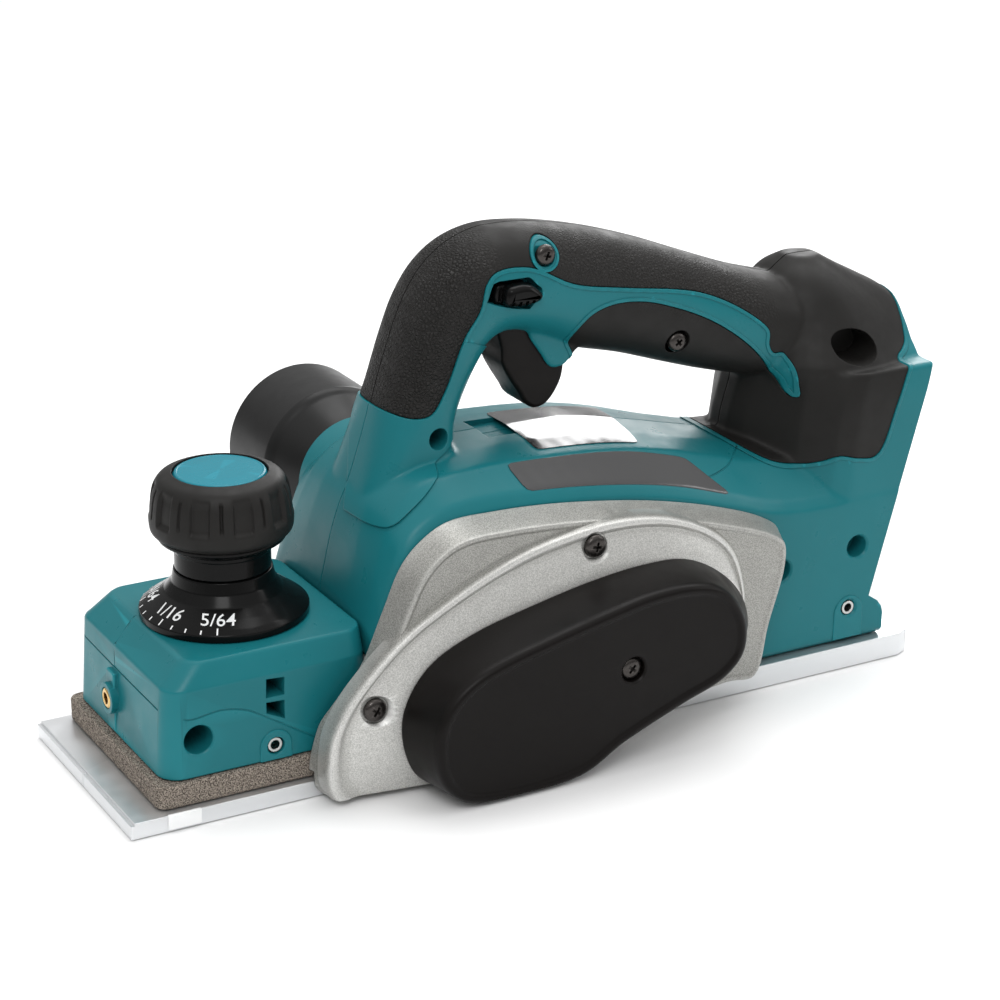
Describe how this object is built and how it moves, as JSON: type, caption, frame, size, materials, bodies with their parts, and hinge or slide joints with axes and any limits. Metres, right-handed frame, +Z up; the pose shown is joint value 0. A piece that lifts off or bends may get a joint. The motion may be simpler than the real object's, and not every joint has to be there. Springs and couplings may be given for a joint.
{
  "type": "electric hand planer",
  "caption": "Cordless hand planer with a two-part sole, belt-driven cutter drum, depth knob, closed rubber-covered handle, side belt cover and chip outlet.",
  "frame": {"origin": "middle of the rear base's sole, on the centre plane", "axes": "+X towards the heel along the sole, +Y towards the chip outlet side, +Z up from the sole"},
  "size_m": [0.3043, 0.163, 0.166],
  "materials": {
    "teal_nylon": "moulded nylon, slightly satin",
    "soft_grip": "grained soft grip, matte",
    "silver_paint": "silver paint over a casting, satin",
    "black_nylon": "black nylon, semi-gloss",
    "cap_blue": "pearly blue, glossy",
    "foam": "open speckled foam",
    "aluminium": "machined and extruded, brushed",
    "steel": "ground steel",
    "dark_steel": "black oxide",
    "brass": "bright turned brass",
    "copper": "turned copper segments",
    "belt_rubber": "ribbed drive belt, matte",
    "blank_plate": "blank dark plate"
  },
  "bodies": {
    "housing": {"housing_left": "teal_nylon", "housing_right": "teal_nylon", "grip_left": "soft_grip", "grip_right": "soft_grip", "front_block": "teal_nylon", "side_frame": "silver_paint", "belt_cover": "black_nylon", "main_frame": "aluminium", "rear_base": "aluminium", "chip_cover": "teal_nylon", "chip_nozzle": "black_nylon", "dust_seal": "foam", "front_insert": "brass", "fence_nut_front": "steel", "fence_nut_rear": "steel", "belt_cover_screw": "dark_steel", "frame_screw_upper": "dark_steel", "frame_screw_front": "dark_steel", "handle_screw_upper": "dark_steel", "handle_screw_lower": "dark_steel", "terminal_block": "black_nylon", "terminal_positive": "brass", "terminal_negative": "brass", "switch_body": "black_nylon", "motor_can": "steel", "motor_end_bell": "black_nylon", "brush_holder_front": "brass", "brush_holder_rear": "brass", "drum_bearing_near": "steel", "drum_bearing_far": "steel", "motor_bearing_near": "steel", "motor_bearing_far": "steel", "belt": "belt_rubber", "shoulder_plate": "blank_plate", "top_plate": "blank_plate", "trigger_pin": "steel", "foot_pin": "steel", "base_spring": "steel"},
    "front_base": {"front_base": "aluminium", "base_post": "steel"},
    "depth_knob": {"knob_body": "black_nylon", "knob_grip": "soft_grip", "knob_cap": "cap_blue", "depth_dial": "black_nylon"},
    "cutter": {"drum": "aluminium", "blade_front": "steel", "blade_rear": "steel", "clamp_plate_front": "dark_steel", "clamp_plate_rear": "dark_steel", "drum_pulley": "dark_steel"},
    "rotor": {"armature": "steel", "commutator": "copper", "fan": "black_nylon", "motor_pulley": "dark_steel"},
    "trigger": {"trigger": "black_nylon"},
    "lock_off": {"lock_off_button": "black_nylon"},
    "foot": {"foot": "black_nylon"}
  },
  "joints": [
    {"name": "knob_turn", "type": "hinge", "parent": "housing", "child": "depth_knob", "pos_m": [-0.1606, 0, 0.0513], "axis": [0, 0, -1], "range_deg": [0, 225]},
    {"name": "front_base_slide", "type": "slide", "parent": "housing", "child": "front_base", "axis": [0, 0, 1], "range_m": [0, 0.00198], "deforming": ["dust_seal", "base_spring"]},
    {"name": "cutter_spin", "type": "hinge", "parent": "housing", "child": "cutter", "pos_m": [-0.096, 0, 0.0277], "axis": [0, 1, 0], "continuous": true},
    {"name": "motor_spin", "type": "hinge", "parent": "housing", "child": "rotor", "pos_m": [-0.031, 0, 0.042], "axis": [0, 1, 0], "continuous": true},
    {"name": "trigger_pull", "type": "hinge", "parent": "housing", "child": "trigger", "pos_m": [-0.061, 0, 0.137], "axis": [0, -1, 0], "range_deg": [0, 10], "stiffness_Nm_per_rad": 0.35, "springref_deg": -11.46},
    {"name": "lock_off_push", "type": "slide", "parent": "housing", "child": "lock_off", "axis": [0, 1, 0], "range_m": [0, 0.003], "stiffness_N_per_m": 500, "springref_m": -0.003},
    {"name": "foot_fold", "type": "hinge", "parent": "housing", "child": "foot", "pos_m": [0.055, 0, 0.0046], "axis": [0, 1, 0], "range_deg": [0, 30]}
  ],
  "couplings": [
    {"joint": "front_base_slide", "follows": "knob_turn", "m_per_rad": 0.000505},
    {"joint": "motor_spin", "follows": "cutter_spin", "ratio": 1.3636}
  ]
}
